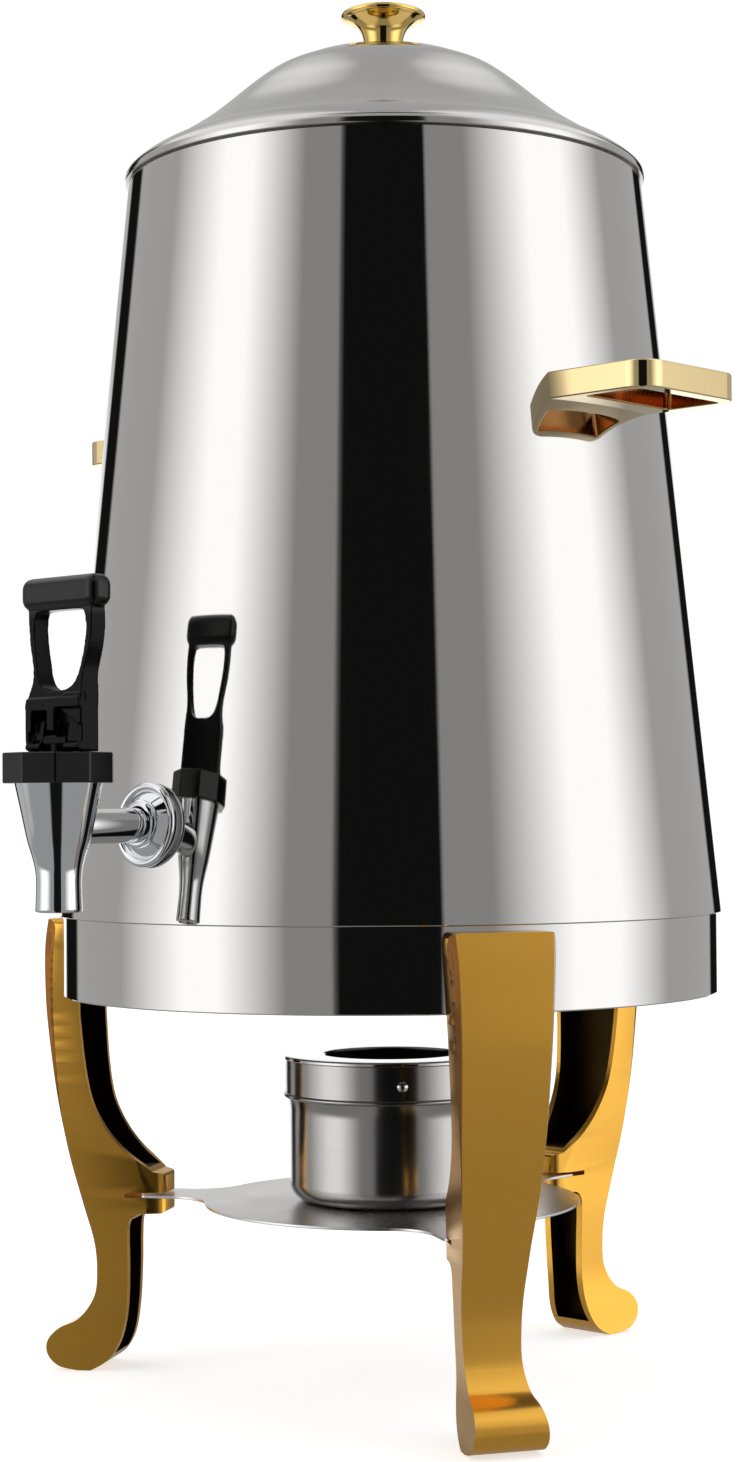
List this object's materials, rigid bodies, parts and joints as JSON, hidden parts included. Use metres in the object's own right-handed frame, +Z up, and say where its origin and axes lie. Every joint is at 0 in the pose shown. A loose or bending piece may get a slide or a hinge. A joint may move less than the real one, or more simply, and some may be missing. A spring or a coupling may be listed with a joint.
{
  "type": "coffee urn",
  "caption": "Coffee urn with a tapered double-wall steel body, domed lid with knob, self-closing lever tap, side handles and a three-legged stand holding a fuel burner",
  "frame": {"origin": "on the floor, at the middle of the three feet, on the upright axis of the body", "axes": "+Z up along the body's axis, tap towards -Y, side handles towards +X and -X"},
  "size_m": [0.3326, 0.3602, 0.5934],
  "materials": {
    "polished_steel": "mirror-polished stainless steel",
    "satin_steel": "satin stainless steel",
    "gold_plate": "cast metal with polished gold-tone plating",
    "zinc_plate": "bright zinc-plated steel",
    "chrome_plate": "bright chrome plating",
    "silicone": "translucent white food-grade silicone",
    "black_plastic": "black moulded plastic, slightly glossy",
    "black_steel": "black-oxide steel"
  },
  "bodies": {
    "stand": {"stand_ring": "polished_steel", "leg_front_right": "gold_plate", "leg_rear": "gold_plate", "leg_front_left": "gold_plate", "leg_screws": "zinc_plate", "leg_washers": "zinc_plate", "shelf_plate": "satin_steel"},
    "burner": {"fuel_cup": "satin_steel", "cup_band": "satin_steel", "band_rivets": "zinc_plate"},
    "burner_lid": {"cup_lid": "satin_steel"},
    "urn": {"outer_shell": "polished_steel", "inner_tank": "satin_steel", "base_ring": "satin_steel", "handle_left": "gold_plate", "handle_right": "gold_plate", "handle_backing_plates": "zinc_plate", "handle_screws": "zinc_plate", "tap_shank": "chrome_plate", "wall_spacer": "zinc_plate", "outer_gasket": "silicone", "escutcheon": "chrome_plate", "inner_gasket": "silicone", "lock_nut": "zinc_plate", "tap_body": "chrome_plate", "bonnet_gasket": "silicone", "bonnet": "black_plastic", "stem_seal": "silicone"},
    "valve_stem": {"stem": "black_plastic", "seat_cup": "silicone", "tap_spring": "satin_steel"},
    "tap_lever": {"lever": "black_plastic", "lever_pin": "black_steel"},
    "lid": {"lid_shell": "polished_steel", "lid_collar": "satin_steel", "knob": "gold_plate", "knob_washer": "zinc_plate", "knob_screw": "zinc_plate"}
  },
  "joints": [
    {"name": "burner_slide", "type": "slide", "parent": "stand", "child": "burner", "axis": [0, -1, 0], "range_m": [0, 0.26]},
    {"name": "cup_lid_lift", "type": "slide", "parent": "burner", "child": "burner_lid", "axis": [0, 0, 1], "range_m": [0, 0.05]},
    {"name": "urn_lift", "type": "slide", "parent": "stand", "child": "urn", "axis": [0, 0, 1], "range_m": [0, 0.1]},
    {"name": "stem_lift", "type": "slide", "parent": "urn", "child": "valve_stem", "axis": [0, 0, 1], "range_m": [0, 0.00161], "stiffness_N_per_m": 400, "springref_m": -0.003, "deforming": ["tap_spring"]},
    {"name": "lever_tilt", "type": "hinge", "parent": "valve_stem", "child": "tap_lever", "pos_m": [0, -0.184, 0.272], "axis": [1, 0, 0], "range_deg": [0, 40]},
    {"name": "lid_lift", "type": "slide", "parent": "urn", "child": "lid", "axis": [0, 0, 1], "range_m": [0, 0.12]}
  ],
  "couplings": [
    {"joint": "lever_tilt", "follows": "stem_lift", "rad_per_m": 434.78}
  ]
}
